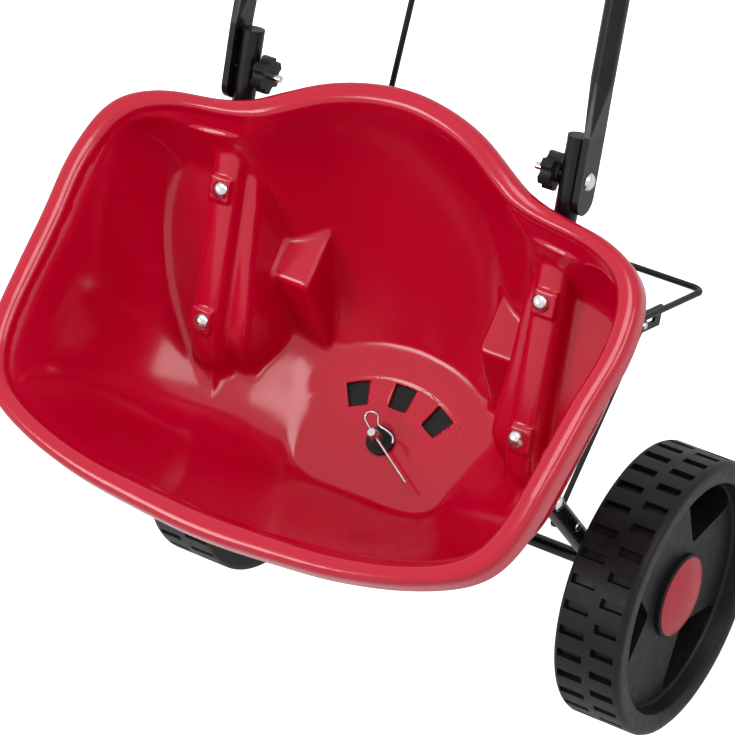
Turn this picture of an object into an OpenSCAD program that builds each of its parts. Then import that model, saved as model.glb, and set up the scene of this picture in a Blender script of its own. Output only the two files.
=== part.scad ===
// Walk-behind salt spreader: a moulded hopper on a bent-tube frame, two wheels on a live
// axle, a bevel gearbox that turns the impeller, and a push handle with a flow lever.
// All modules are drawn with the axle centre at [0, 0, 0], X along the axle and +Y to the
// handle. place() then moves them so that the origin is the centre of the footprint.

/* [Wheels] */
// Wheel diameter over the tread
wheel_d = 250; // [240:1:262]
// Width of the tread
wheel_w = 64; // [58:0.5:68]
// Distance between the outer faces of the two wheels
track_w = 486; // [480:1:500]
// Depth of the tread bars
tread_depth = 6; // [3:0.5:8]
// Tread bars in each of the two rows
tread_bars = 34; // [28:1:40]
// Radial height of the plain side ring of the wheel
side_ring = 20; // [16:0.5:24]

/* [Axle and drive] */
// Axle diameter
axle_d = 12.5; // [12:0.1:14]
// Impeller shaft diameter
shaft_d = 10; // [9:0.1:12]
// Teeth on the bevel gear that the axle carries
gear_teeth = 36; // [36, 33, 30]
// Teeth on the pinion of the impeller shaft
pinion_teeth = 12; // [12, 11, 10]
// Tooth size, as pitch diameter over teeth
gear_module = 1.6; // [1.5:0.05:1.7]
// Impeller diameter
impeller_d = 208; // [180:1:216]
// Height of the impeller plate above the axle
impeller_z = 104; // [96:1:112]

/* [Frame] */
// Outer diameter of the frame and handle tubes
tube_d = 19; // [17:0.5:20]
// Wall of the frame and handle tubes
tube_wall = 1.5; // [1:0.1:2.5]
// Clear distance between each upright and the inner face of its wheel
wheel_gap = 15; // [13:0.5:17]
// Slope of the uprights and of the handle above the horizontal
slope = 35; // [33:0.5:37]
// Length of the sloping part of an upright, from its top to the bend corner
upright_l = 278; // [272:1:282]
// Height of the bend corner above the axle
bend_z = 247; // [243:1:250]
// How far the bend corner lies behind the axle
bend_y = 12; // [8:1:14]
// Bend radius at the middle of the tube
bend_r = 45; // [35:1:55]

/* [Hopper] */
// Wall of the hopper
wall = 3.2; // [2.5:0.1:4]
// Height of the hopper floor above the axle
floor_z = 181; // [179:0.5:184]
// Height of the top of the rolled lip above the axle
rim_z = 399; // [396:1:402]
// Width of the rolled lip
lip_w = 23; // [20:0.5:25]
// Inner edge of the outlet ports, from the centre of their arc
port_in = 78; // [74:0.5:82]
// Outer edge of the outlet ports, from the centre of their arc
port_out = 99; // [96:0.5:104]
// Angle of one outlet port
port_angle = 11.6; // [9:0.1:14]

/* [Handle] */
// Length of a lower handle tube
lower_l = 470; // [420:5:520]
// Height of the upper handle beyond the lower tubes
upper_l = 240; // [200:5:280]
// Diameter of the handle grip
grip_d = 29; // [27:0.5:34]
// Diameter of the star knobs
knob_d = 31; // [27:1:36]
// Distance of the handle bolt from the top of the upright
handle_bolt_s = 32; // [30:1:40]

/* [Stand] */
// Diameter of the stand wire
stand_wire = 6; // [5:0.5:8]
// Distance of each stand leg from the centre plane
stand_x = 82.5; // [76:0.5:88]
// How far the ground bar of the stand lies behind the axle
stand_y = 295; // [285:1:310]
// Width of the slotted bars of the stand
slot_bar_w = 20; // [18:0.5:24]

/* [Hidden] */
$fn = 48;

// Clearances: a running fit on a shaft, faces that nearly touch, and holes for screws
run = 0.05;
gap = 0.3;
hole_gap = 0.2;

// Wheels and axle
wheel_r = wheel_d / 2;
axle_r = axle_d / 2;
wheel_out = track_w / 2;
wheel_in = wheel_out - wheel_w;
hub_r = 38;
hub_recess_r = 22;
hub_in = wheel_in + 8;
hub_seat = wheel_out - 27;
hub_out = wheel_out - 9;
spoke_turn = 72.5;

// Uprights: the bend corner, the lean of the post and the place of the top end
post_lean = atan(bend_y / bend_z);
bend_angle = 90 - post_lean - slope;
bend_tangent = bend_r * tan(bend_angle / 2);
tube_r = tube_d / 2;
tube_x = wheel_in - wheel_gap - tube_r;
top_y = bend_y + upright_l * cos(slope);
top_z = bend_z + upright_l * sin(slope);
post_foot = -17;
bolt_r = 3;
hopper_bolt_s = [upright_l - 146, upright_l - 29];
rib_r = tube_r + gap + 2.7;
pad_h = rib_r + 1.5;
pad_w = 17;

// Footprint: the front of the hopper lip and the rear end of the handle set the origin
rim_front = -164;
handle_x = tube_x + tube_r + 1.2;
handle_end_s = lower_l + upper_l;
pivot_y = top_y - handle_bolt_s * cos(slope);
pivot_z = top_z - handle_bolt_s * sin(slope);
grip_lip = 1.5;
handle_back = pivot_y + handle_end_s * cos(slope) + grip_d / 2 + grip_lip;
mid_y = (handle_back + rim_front) / 2;

// Drive
gear_pitch_r = gear_module * gear_teeth / 2;
pinion_pitch_r = gear_module * pinion_teeth / 2;
shaft_r = shaft_d / 2;
box_r = gear_pitch_r + 10;
box_half = 24;
shaft_top = floor_z + 24;
impeller_r = impeller_d / 2;
port_mid_y = -49;

// Sheet parts under the floor
plate_t = 2.5;
shutter_t = 2.5;
shutter_top = floor_z - wall - gap;
plate_top = shutter_top - shutter_t - gap;

// Moves the model so that the origin is the centre of the footprint on the ground
module place() translate([0, -mid_y, wheel_r]) children();

// Draws a Y-Z outline that is extruded along X
module yz() rotate([90, 0, 90]) children();

// Both sides of the centre plane
module both() { children(); mirror([1, 0, 0]) children(); }

// Local Z runs up the upright from a point s below its top; local -Y faces the hopper inside
module on_upright(s) translate([tube_x, top_y - s * cos(slope), top_z - s * sin(slope)])
    rotate([slope - 90, 0, 0]) children();

// Local Z runs up the handle from the handle bolt
module on_handle(s, x = handle_x) translate([x, pivot_y + s * cos(slope), pivot_z + s * sin(slope)])
    rotate([slope - 90, 0, 0]) children();

// A cylinder along X, between two X values
module rod_x(r, x0, x1) translate([x0, 0, 0]) rotate([0, 90, 0]) cylinder(r = r, h = x1 - x0);

// A bend of radius big in a rod of radius r. It is a hair fuller than the straights, which run
// into its ends by bend_in
bend_full = 0.06;
bend_in = 0.3;
module bend(big, r, angle) rotate_extrude(angle = angle) translate([big, 0]) circle(r = r + bend_full);

// The path of an upright as a solid of radius r: slope, bend and post
module upright_path(r, top = 0, foot = post_foot) {
    tan_s = upright_l - bend_tangent;
    on_upright(tan_s) translate([0, 0, -bend_in]) cylinder(r = r, h = tan_s - top + bend_in);
    translate([tube_x, 0, 0]) {
        a_y = top_y - tan_s * cos(slope);
        a_z = top_z - tan_s * sin(slope);
        translate([0, a_y + bend_r * sin(slope), a_z - bend_r * cos(slope)])
            yz() rotate([0, 0, 90 + slope]) bend(bend_r, r, bend_angle);
        rotate([-post_lean, 0, 0]) translate([0, 0, foot])
            cylinder(r = r, h = bend_z / cos(post_lean) - bend_tangent - foot + bend_in);
    }
}

// Hopper outlines, right half from the front to the back, each with the same count of points
rim_half = [[0, -164], [70, -160], [130, -151], [190, -133], [236, -110], [256, -72], [262, -20],
    [267, 40], [268, 100], [250, 148], [212, 171], [168, 179], [134, 187], [106, 202], [76, 219],
    [40, 231], [0, 236]];
upper_half = [[0, -113], [64, -111], [120, -106], [173, -95], [215, -72], [231, -48], [236, -12],
    [239, 38], [238, 92], [222, 128], [195, 140], [160, 138], [128, 142], [104, 158], [76, 176],
    [40, 186], [0, 189]];
lower_half = [[0, -81], [55, -80], [105, -76], [150, -68], [183, -52], [198, -34], [203, -8],
    [206, 26], [204, 62], [192, 90], [170, 104], [145, 106], [118, 110], [94, 120], [68, 134],
    [36, 140], [0, 142]];
floor_half = [[0, -50], [38, -50], [58, -46], [68, -36], [72, -24], [73, -14], [74, -4], [76, 6],
    [79, 16], [83, 26], [87, 36], [86, 46], [78, 56], [66, 65], [50, 73], [27, 80], [0, 83]];
loop_n = 64;
crease_z = rim_z - 9;
ring_steps = [0, 0.1, 0.25, 0.42, 0.58, 0.74, 0.88, 1];

// A closed smooth loop through a half outline and its mirror image
function mirrored(h) = concat(h, [for (i = [len(h) - 2:-1:1]) [-h[i][0], h[i][1]]]);
function smooth(a, b, c, d, t) = b + 0.5 * t * (c - a + t * (2 * a - 5 * b + 4 * c - d
    + t * (3 * (b - c) + d - a)));
function loop(h) = let (p = mirrored(h), n = len(p)) [for (k = [0:loop_n - 1])
    let (u = k * n / loop_n, i = floor(u))
    smooth(p[(i + n - 1) % n], p[i % n], p[(i + 1) % n], p[(i + 2) % n], u - i)];
function grown(l, d) = [for (k = [0:loop_n - 1])
    let (t = l[(k + 1) % loop_n] - l[(k + loop_n - 1) % loop_n]) l[k] + d * [t[1], -t[0]] / norm(t)];
function at_z(l, z) = [for (p = l) [p[0], p[1], z]];

// The inner wall at height share v, a cubic through the floor, lower, upper and crease loops
rim_loop = loop(rim_half);
crease_loop = grown(rim_loop, -lip_w);
upper_loop = loop(upper_half);
lower_loop = loop(lower_half);
floor_loop = loop(floor_half);
function wall_loop(v) =
    -4.5 * (v - 1 / 3) * (v - 2 / 3) * (v - 1) * floor_loop
    + 13.5 * v * (v - 2 / 3) * (v - 1) * lower_loop
    - 13.5 * v * (v - 1 / 3) * (v - 1) * upper_loop
    + 4.5 * v * (v - 1 / 3) * (v - 2 / 3) * crease_loop;
function wall_z(v) = floor_z + v * (crease_z - floor_z);

// A closed solid from a stack of rings, first ring lowest, wound outwards
module stack(rings) {
    m = len(rings);
    points = concat([for (r = rings) each r], [[0, 10, rings[0][0][2]], [0, 10, rings[m - 1][0][2]]]);
    faces = concat(
        [for (j = [0:m - 2], k = [0:loop_n - 1]) let (a = j * loop_n + k, b = j * loop_n + (k + 1) % loop_n)
            each [[a, a + loop_n, b], [b, a + loop_n, b + loop_n]]],
        [for (k = [0:loop_n - 1]) [m * loop_n, k, (k + 1) % loop_n]],
        [for (k = [0:loop_n - 1]) [m * loop_n + 1, (m - 1) * loop_n + (k + 1) % loop_n,
            (m - 1) * loop_n + k]]);
    polyhedron(points, faces, convexity = 8);
}

// Rings of the outer wall; share is the part of the wall that they enclose
wall_across = wall * 1.1;
function outer_rings(share) = concat([for (v = ring_steps) if (v < 1)
    at_z(grown(wall_loop(v), wall_across * share), wall_z(v) - wall * share)],
    [at_z(grown(crease_loop, wall_across * share), crease_z - 4)]);
lip_rings = [at_z(grown(rim_loop, -wall), rim_z - 12), at_z(grown(rim_loop, -wall), rim_z - 20),
    at_z(rim_loop, rim_z - 20), at_z(rim_loop, rim_z - 9), at_z(grown(rim_loop, -4), rim_z - 2),
    at_z(grown(rim_loop, -11), rim_z), at_z(grown(rim_loop, 3 - lip_w), rim_z - 3)];

// The volume out to the middle of the wall, which bounds the ribs, and the hopper without ribs
module hopper_outside() stack(outer_rings(0.5));
module hopper_shell() stack(concat(outer_rings(1), lip_rings,
    [for (i = [len(ring_steps) - 1:-1:0]) at_z(wall_loop(ring_steps[i]), wall_z(ring_steps[i]))]));

// The channel for an upright: everything from the tube back and down, grown by g
module channel(g) {
    upright_path(tube_r + g, top = -60);
    slab = 2 * (tube_r + g) - 0.2;
    translate([tube_x, 0, 0]) yz() translate([0, 0, -slab / 2]) linear_extrude(slab)
        polygon([[0, 0], [bend_y, bend_z], [top_y, top_z], [top_y, 0]]);
}

// The broad ridge beside each channel, between X values x0 and x1, grown by g
ridge_x = [97, 172];
module ridge(g) {
    yz() translate([0, 0, ridge_x[0] - g]) linear_extrude(ridge_x[1] - ridge_x[0] + 2 * g)
        polygon([[8 - g, 100], [8 - g, 238], [20 - g, 250 + g], [190, 370 + g], [190, 100]]);
}

// The wedge boss on the inner flank of each ridge, grown by g
module wedge(g) {
    yz() translate([0, 0, 80 - g]) linear_extrude(32 + g)
        polygon([[60 - g, 100], [60 - g, 181 + g], [88 - g, 262 + g], [150, 268 + g], [150, 100]]);
}

// One outlet port as a flat fan of the ring round the port centre
module port_outline(grow = 0) {
    half = port_angle / 2;
    difference() {
        circle(r = port_out + grow);
        circle(r = port_in - grow);
        rotate([0, 0, 90 + half]) translate([-200, grow]) square([400, 200]);
        rotate([0, 0, 90 - half]) translate([-200, -200 - grow]) square([400, 200]);
        translate([-200, -200]) square([400, 200]);
    }
}
port_pitch = 26;
module ports(z0, h, grow = 0) for (i = [-1:1]) translate([0, port_mid_y, z0])
    rotate([0, 0, i * port_pitch]) linear_extrude(h) port_outline(grow);

module pad(s) on_upright(s) translate([-pad_w / 2, -pad_h, -pad_w / 2]) cube([pad_w, pad_h, pad_w]);

// The bolt line across an upright: local Z out of the hopper side of the tube
module bolt_axis(s) on_upright(s) rotate([90, 0, 0]) children();

floor_bush_r = 8;
module hopper() color([0.7, 0.05, 0.13]) place() difference() {
    union() {
        hopper_shell();
        both() intersection() {
            hopper_outside();
            union() {
                channel(gap + 2.7);
                ridge(0);
                wedge(0);
                for (s = hopper_bolt_s) pad(s);
            }
        }
    }
    both() {
        channel(gap);
        ridge(-wall);
        wedge(-wall);
        for (s = hopper_bolt_s) bolt_axis(s) cylinder(r = bolt_r + hole_gap, h = 60);
    }
    ports(floor_z - 20, 40);
    translate([0, 0, floor_z - 20]) cylinder(r = floor_bush_r + hole_gap, h = 40);
}

// An upright: slope, bend and post in one bent tube, cross-drilled for bolts, bush and brace
brace_z = 106;
brace_bolt_r = 2.5;
module frame_tube() color([0.05, 0.05, 0.055]) place() difference() {
    upright_path(tube_r);
    upright_path(tube_r - tube_wall, top = -1, foot = post_foot - 1);
    for (s = hopper_bolt_s) bolt_axis(s) translate([0, 0, -30]) cylinder(r = bolt_r + hole_gap, h = 60);
    on_upright(handle_bolt_s) rotate([0, 90, 0]) translate([0, 0, -20])
        cylinder(r = bolt_r + hole_gap, h = 40);
    translate([tube_x, 0, 0]) rod_x(bush_r + run, -20, 20);
    translate([0, post_y(brace_z), brace_z]) rod_x(brace_bolt_r + hole_gap, tube_x - 20, tube_x + 20);
    translate([0, post_y(plate_hole_z), plate_hole_z])
        rod_x(bolt_r + hole_gap, tube_x - 20, tube_x + 20);
}
function post_y(z) = z * tan(post_lean);
module frame_tube_right() frame_tube();
module frame_tube_left() mirror([1, 0, 0]) frame_tube();

// Plugs in the top ends of the uprights
cap_t = 2.4;
module tube_caps() color([0.09, 0.09, 0.095]) place() both() on_upright(0) {
    cylinder(r = tube_r, h = cap_t);
    translate([0, 0, -12]) cylinder(r = tube_r - tube_wall - 2 * run, h = 12);
}

// Domed bolts through the pads and the uprights, and their nuts behind
head_h = 3.6;
module dome_head(r, h) rotate_extrude() intersection() {
    translate([0, h - (r * r + h * h) / (2 * h)]) circle(r = (r * r + h * h) / (2 * h), $fn = 96);
    square([r, h]);
}
module hopper_bolts() color([0.8, 0.8, 0.82]) place() both() for (s = hopper_bolt_s) bolt_axis(s) {
    translate([0, 0, pad_h + gap]) dome_head(7, head_h);
    translate([0, 0, -tube_r - 9]) cylinder(r = bolt_r, h = pad_h + tube_r + 9.5);
}
module nut(af, h) cylinder(r = af / 2 / cos(30), h = h, $fn = 6);
module drilled_nut(af, h, r) difference() {
    nut(af, h);
    translate([0, 0, -1]) cylinder(r = r, h = h + 2);
}
nut_af = 10;
nut_h = 5;
module m6_nut() drilled_nut(nut_af, nut_h, bolt_r + run);
module frame_nuts() color([0.75, 0.75, 0.77]) place() both() {
    for (s = hopper_bolt_s) bolt_axis(s) translate([0, 0, -tube_r - gap - nut_h]) m6_nut();
    translate([plate_end - plate_t - gap, post_y(plate_hole_z), plate_hole_z]) rotate([0, -90, 0]) m6_nut();
    across_bar(stand_bolt_s) translate([ear_x - plate_t - gap, 0, 0]) rotate([0, -90, 0]) m6_nut();
}

// The live axle with its end holes, and what it turns in
axle_end = hub_seat + 9;
cotter_x = hub_seat + 4;
cotter_r = 1.6;
bush_r = 7.6;
bush_flange_r = 11;
drive_pin_r = 2.5;
drive_pin_x = hub_in + 3;
module axle() color([0.62, 0.63, 0.65]) place() difference() {
    rod_x(axle_r, -axle_end, axle_end);
    for (x = [-cotter_x, cotter_x]) translate([x, 0, -20]) cylinder(r = cotter_r + run, h = 40);
    translate([drive_pin_x, 0, -20]) cylinder(r = drive_pin_r + run, h = 40);
}
module axle_bushes() color([0.85, 0.85, 0.82]) place() both() difference() {
    union() {
        rod_x(bush_r, tube_x - tube_r - 1, tube_x + tube_r + 0.2);
        rod_x(bush_flange_r, tube_x + tube_r + 0.2, tube_x + tube_r + 2.8);
    }
    rod_x(axle_r + run, tube_x - 30, tube_x + 30);
}
module wheel_spacers() color([0.09, 0.09, 0.095]) place() both() difference() {
    rod_x(axle_r + 3.4, tube_x + tube_r + 3.1, hub_in - gap);
    rod_x(axle_r + run, tube_x, wheel_out);
}
module drive_pin() color([0.6, 0.6, 0.62]) place() translate([drive_pin_x, 0, -18])
    cylinder(r = drive_pin_r, h = 36);

// A moulded wheel along X: tread bars in two staggered rows, back web, three broad spokes, hub
spoke_face = wheel_out - 16;
rim_in_r = wheel_r - side_ring;
web_x = wheel_in + 12;
bar_share = 0.58;
module tread_row(x0, x1, turn) translate([x0, 0, 0]) rotate([0, 90, 0]) linear_extrude(x1 - x0)
    difference() {
        circle(r = wheel_r, $fn = 96);
        circle(r = wheel_r - tread_depth - 4, $fn = 96);
        slot = (1 - bar_share) * 2 * PI * wheel_r / tread_bars;
        for (i = [0:tread_bars - 1]) rotate([0, 0, (i + turn) * 360 / tread_bars])
            translate([wheel_r - tread_depth, -slot / 2]) square([2 * tread_depth, slot]);
    }
module wheel(bore, pinned) difference() {
    union() {
        rotate([0, 90, 0]) rotate_extrude($fn = 96) difference() {
            translate([rim_in_r, wheel_in + 2]) square([wheel_r - tread_depth - rim_in_r, wheel_w - 4]);
            translate([rim_in_r, wheel_out - 2]) rotate([0, 0, 45]) square(4, center = true);
        }
        mid = (wheel_in + wheel_out) / 2;
        tread_row(wheel_in, mid - 3, 0);
        tread_row(mid + 3, wheel_out, 0.5);
        rotate([0, 90, 0]) rotate_extrude($fn = 96) translate([wheel_r - tread_depth - 4, mid - 3])
            square([tread_depth + 2.6, 6]);
        rod_x(rim_in_r + 1, web_x, web_x + 4);
        rod_x(hub_r, hub_in, hub_out);
        translate([web_x, 0, 0]) yz() linear_extrude(spoke_face - web_x) intersection() {
            circle(r = rim_in_r + 1);
            for (i = [0:2]) rotate([0, 0, spoke_turn + i * 120])
                polygon([[0, -hub_r * 0.85], [rim_in_r + 5, -hub_r * 1.36], [rim_in_r + 5, hub_r * 1.36],
                    [0, hub_r * 0.85]]);
        }
    }
    rod_x(bore, wheel_in - 1, wheel_out + 1);
    rod_x(hub_recess_r, hub_seat, wheel_out + 1);
    if (pinned) translate([hub_in - 1, -drive_pin_r - 0.15, -19]) cube([7, 2 * drive_pin_r + 0.3, 38]);
}
module drive_wheel() color([0.09, 0.09, 0.1]) place() wheel(axle_r + run, true);
module free_wheel() color([0.09, 0.09, 0.1]) place() mirror([1, 0, 0]) wheel(axle_r + run, false);

// Red caps that close the hubs
module wheel_cap() {
    translate([hub_out + gap, 0, 0]) rotate([0, 90, 0]) {
        dome_head(36, wheel_out - hub_out - gap);
        translate([0, 0, -8]) difference() {
            cylinder(r = hub_recess_r - run, h = 8);
            translate([0, 0, -1]) cylinder(r = hub_recess_r - 3, h = 9);
        }
    }
}
module drive_wheel_cap() color([0.72, 0.08, 0.13]) place() wheel_cap();
module free_wheel_cap() color([0.72, 0.08, 0.13]) place() mirror([1, 0, 0]) wheel_cap();
module wheel_washers() color([0.7, 0.7, 0.72]) place() both() difference() {
    rod_x(axle_r + 6, hub_seat + gap, hub_seat + 2.2);
    rod_x(axle_r + run, tube_x, wheel_out);
}
module cotter_pins() color([0.7, 0.7, 0.72]) place() both() translate([cotter_x, 0, 0]) {
    translate([0, 0, -13]) cylinder(r = cotter_r, h = 25);
    translate([0, 0, 14.2]) rotate([0, 90, 0]) rotate_extrude() translate([3.4, 0])
        circle(r = cotter_r, $fn = 24);
}

// Gearbox: two halves that meet on the centre plane, with bosses on the axle and a shaft neck
lug_turn = [-30, 42, 138, 210];
lug_r = 6.5;
module at_lug(a, out = 5) translate([0, (box_r + out) * cos(a), (box_r + out) * sin(a)]) children();
screw_r = 2;
module gearbox_half() difference() {
    intersection() {
        union() {
            rod_x(box_r, -box_half, box_half);
            rod_x(axle_r + 7, -box_half - 12, box_half + 12);
            cylinder(r = shaft_r + 8, h = box_r + 22);
            for (a = lug_turn) {
                at_lug(a) rod_x(lug_r, -9, 9);
                at_lug(a, 0) rod_x(lug_r - 0.5, -9, 9);
            }
        }
        translate([0, -100, -100]) cube([100, 200, 200]);
    }
    rod_x(box_r - 4, -box_half + 4, box_half - 4);
    rod_x(axle_r + run, -60, 60);
    cylinder(r = shaft_r + run, h = box_r + 60);
    for (a = lug_turn) at_lug(a) rod_x(screw_r + hole_gap, -20, 20);
}
module gearbox_right() color([0.12, 0.12, 0.13]) place() gearbox_half();
module gearbox_left() color([0.12, 0.12, 0.13]) place() mirror([1, 0, 0]) gearbox_half();
module gearbox_screws() color([0.75, 0.75, 0.77]) place() for (a = lug_turn) at_lug(a) {
        rod_x(screw_r, -12, 9.5);
        rod_x(4, 9.3, 12);
        rotate([0, -90, 0]) translate([0, 0, 9.3]) nut(7, 3);
    }

// A bevel gear as a tapered toothed disc: local Z points to the shared cone tip
bevel_face = 9;
backlash = 0.235;
module bevel(teeth, other) {
    r = gear_module * teeth / 2;
    tip = gear_module * other / 2;
    cone = sqrt(r * r + tip * tip);
    depth = bevel_face * tip / cone;
    share = 1 - bevel_face / cone;
    linear_extrude(depth, scale = share) for (i = [0:teeth - 1]) rotate([0, 0, i * 360 / teeth])
        polygon([[r - 2.4 * gear_module, -gear_module * (0.95 - backlash)],
            [r + 0.7 * gear_module, -gear_module * (0.42 - backlash)],
            [r + 0.7 * gear_module, gear_module * (0.42 - backlash)],
            [r - 2.4 * gear_module, gear_module * (0.95 - backlash)]]);
    root = (teeth > other ? 1.95 : 1.35) * gear_module;
    linear_extrude(depth, scale = share) circle(r = r - root, $fn = 72);
}
module bevel_gear() color([0.86, 0.85, 0.8]) place() difference() {
    union() {
        translate([pinion_pitch_r, 0, 0]) rotate([0, -90, 0]) bevel(gear_teeth, pinion_teeth);
        rod_x(axle_r + 5, pinion_pitch_r - 1, box_half - 4.5);
        rod_x(gear_pitch_r - 2.6 * gear_module, pinion_pitch_r, pinion_pitch_r + 3);
    }
    rod_x(axle_r + run, -30, 60);
}
module pinion() color([0.7, 0.7, 0.66]) place() difference() {
    union() {
        translate([0, 0, gear_pitch_r]) mirror([0, 0, 1]) rotate([0, 0, 180 / pinion_teeth])
            bevel(pinion_teeth, gear_teeth);
        translate([0, 0, gear_pitch_r]) cylinder(r = pinion_pitch_r - 1, h = 3);
    }
    cylinder(r = shaft_r + run, h = 100);
}
pinion_low = gear_pitch_r * (1 - bevel_face / sqrt(pow(gear_pitch_r, 2) + pow(pinion_pitch_r, 2)));

// The impeller shaft, the impeller and the agitator clip through the shaft's top
clip_r = 1.6;
clip_z = shaft_top - 7;
clip_loop_r = 5.5;
clip_loop_x = -22;
impeller_pin_z = impeller_z + 23;
module impeller_shaft() color([0.62, 0.63, 0.65]) place() difference() {
    rotate_extrude() polygon([[0, pinion_low + 1], [shaft_r, pinion_low + 1], [shaft_r, shaft_top - 3],
        [shaft_r - 1.5, shaft_top], [0, shaft_top]]);
    translate([0, 0, clip_z]) rotate([90, 0, 40]) translate([0, 0, -20]) cylinder(r = clip_r + run, h = 40);
    translate([0, 0, impeller_pin_z]) rod_x(2 + run, -20, 20);
}
module impeller() color([0.1, 0.1, 0.11]) place() translate([0, 0, impeller_z]) difference() {
    union() {
        cylinder(r = impeller_r, h = 3, $fn = 96);
        difference() {
            cylinder(r = impeller_r, h = 5, $fn = 96);
            translate([0, 0, -1]) cylinder(r = impeller_r - 3, h = 8, $fn = 96);
        }
        cylinder(r = shaft_r + 7, h = 28);
        for (i = [0:3]) rotate([0, 0, 45 + i * 90]) translate([shaft_r + 4, -1.5, 0])
            cube([impeller_r - shaft_r - 10, 3, 20]);
    }
    translate([0, 0, -1]) cylinder(r = shaft_r + run, h = 40);
    translate([0, 0, impeller_pin_z - impeller_z]) rod_x(2 + run, -20, 20);
}
module impeller_pin() color([0.6, 0.6, 0.62]) place() translate([0, 0, impeller_pin_z])
    rod_x(2, -shaft_r - 7.5, shaft_r + 7.5);
module floor_bush() color([0.07, 0.07, 0.08]) place() difference() {
    union() {
        translate([0, 0, floor_z]) cylinder(r = 12.5, h = 3.5);
        translate([0, 0, plate_top - plate_t - 3])
            cylinder(r = floor_bush_r, h = floor_z - plate_top + plate_t + 4);
    }
    translate([0, 0, 100]) cylinder(r = shaft_r + run, h = 200);
}
// Straight leg through the shaft, a loop behind it and a short sprung leg beside it
module agitator_clip() color([0.75, 0.75, 0.77]) place() translate([0, 0, clip_z]) rotate([0, 0, -50]) {
    rod_x(clip_r, clip_loop_x - bend_in, 54);
    translate([clip_loop_x, clip_loop_r, 0]) rotate([0, 0, 90]) bend(clip_loop_r, clip_r, 180);
    translate([0, 2 * clip_loop_r, 0]) rod_x(clip_r, clip_loop_x - bend_in, -6);
    segment([-6, 2 * clip_loop_r, 0], [16, 7.5, 0], clip_r);
}

// Cross plate between the posts under the floor, with ears for the slotted bars of the stand
plate_front = -34;
plate_back = 84;
plate_hole_z = plate_top - plate_t - 11;
ear_drop = 34;
plate_end = tube_x - tube_r - gap;
// Slope of the stand legs, rising to the front
leg_slope = 55.5;
leg_top = 232;
leg_bend_r = 12;
stand_r = stand_wire / 2;
stand_z = -wheel_r + stand_r;
// A point of the stand leg line at distance s up from the ground bar
function leg_y(s) = stand_y - s * cos(leg_slope);
function leg_z(s) = stand_z + s * sin(leg_slope);
bar_t = 3;
bar_s = [76, 342];
bar_w_mid = 2 - slot_bar_w / 2;
bar_slot = 7;
stand_bolt_s = bar_s[1] - 12;
brace_s = 115;
// Local Z runs up the leg line, local Y is square to it, towards the back
module along_leg(x, s) translate([x, leg_y(s), leg_z(s)]) rotate([90 - leg_slope, 0, 0]) children();
ear_x = stand_x - stand_r - bar_t - 2 * gap;
ear_y = leg_y(stand_bolt_s) + bar_w_mid * sin(leg_slope);
ear_z = leg_z(stand_bolt_s) + bar_w_mid * cos(leg_slope);
module cross_plate() color([0.06, 0.06, 0.065]) place() difference() {
    union() {
        translate([-plate_end, plate_front, plate_top - plate_t])
            cube([2 * plate_end, plate_back - plate_front, plate_t]);
        both() {
            translate([plate_end - plate_t, plate_front, plate_hole_z - 12])
                cube([plate_t, plate_back - plate_front - 30, plate_top - plate_hole_z + 12 - 1]);
            yz() translate([0, 0, ear_x - plate_t]) linear_extrude(plate_t)
                polygon([[plate_back - 40, plate_top - plate_t / 2],
                    [plate_back - 0.5, plate_top - plate_t / 2], [ear_y + 14, ear_z + 8],
                    [ear_y + 10, ear_z - 13], [ear_y - 14, ear_z - 13]]);
        }
    }
    ports(plate_top - 10, 20, 6);
    translate([0, 0, plate_top - 10]) cylinder(r = floor_bush_r + run, h = 20);
    both() {
        translate([0, post_y(plate_hole_z), plate_hole_z]) rod_x(bolt_r + hole_gap, 100, 180);
        translate([0, ear_y, ear_z]) rod_x(bolt_r + hole_gap, 40, 120);
        guide_holes();
    }
}
module plate_screws() color([0.75, 0.75, 0.77]) place() both()
    translate([0, post_y(plate_hole_z), plate_hole_z]) {
        rod_x(bolt_r, plate_end - plate_t - 6, tube_x + tube_r + 1);
        translate([tube_x + tube_r + 0.2, 0, 0]) rotate([0, 90, 0]) dome_head(6.5, 3.4);
    }

// Shutter under the outlet ports, its side guides and their screws
shutter_travel = 28;
tab_x = -25;
tab_y = 112;
rod_r = 2.5;
guide_x = 62;
guide_y = [10, 60];
guide_w = 9;
module guide_holes() for (y = guide_y) translate([guide_x + guide_w / 2, y, plate_top - 10])
    cylinder(r = screw_r + hole_gap, h = 30);
module shutter() color([0.07, 0.07, 0.075]) place() translate([0, 0, shutter_top - shutter_t]) difference() {
    linear_extrude(shutter_t) union() {
        intersection() {
            translate([0, port_mid_y]) difference() {
                circle(r = port_out + 8);
                circle(r = port_in - 7);
            }
            translate([-guide_x + gap, 0]) square([2 * (guide_x - gap), 100]);
        }
        translate([tab_x - 13, 40]) square([26, tab_y + 14 - 40]);
    }
    translate([tab_x, tab_y, -1]) cylinder(r = rod_r + hole_gap, h = shutter_t + 2);
}
module shutter_guides() color([0.62, 0.63, 0.65]) place() both() difference() {
    translate([guide_x, 4, plate_top]) cube([guide_w, 76, shutter_top + gap - plate_top]);
    guide_holes();
}
module guide_screws() color([0.75, 0.75, 0.77]) place() both() for (y = guide_y)
    translate([guide_x + guide_w / 2, y, plate_top - plate_t - gap]) {
        translate([0, 0, -3]) cylinder(r = 4, h = 3);
        translate([0, 0, -1]) cylinder(r = screw_r, h = shutter_top - plate_top + plate_t + gap + 1);
    }

// Control rod: a leg through the shutter tab, a rise behind the hopper, and a straight run
// beside and below the handle to the lever
lever_s = lower_l - 98;
lever_arm = 60;
pivot_up = 42;
rod_x_top = -8;
// The lever stands upright halfway, so its foot follows the level travel of the rod
lever_rest = atan(shutter_travel / 2 / lever_arm);
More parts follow.
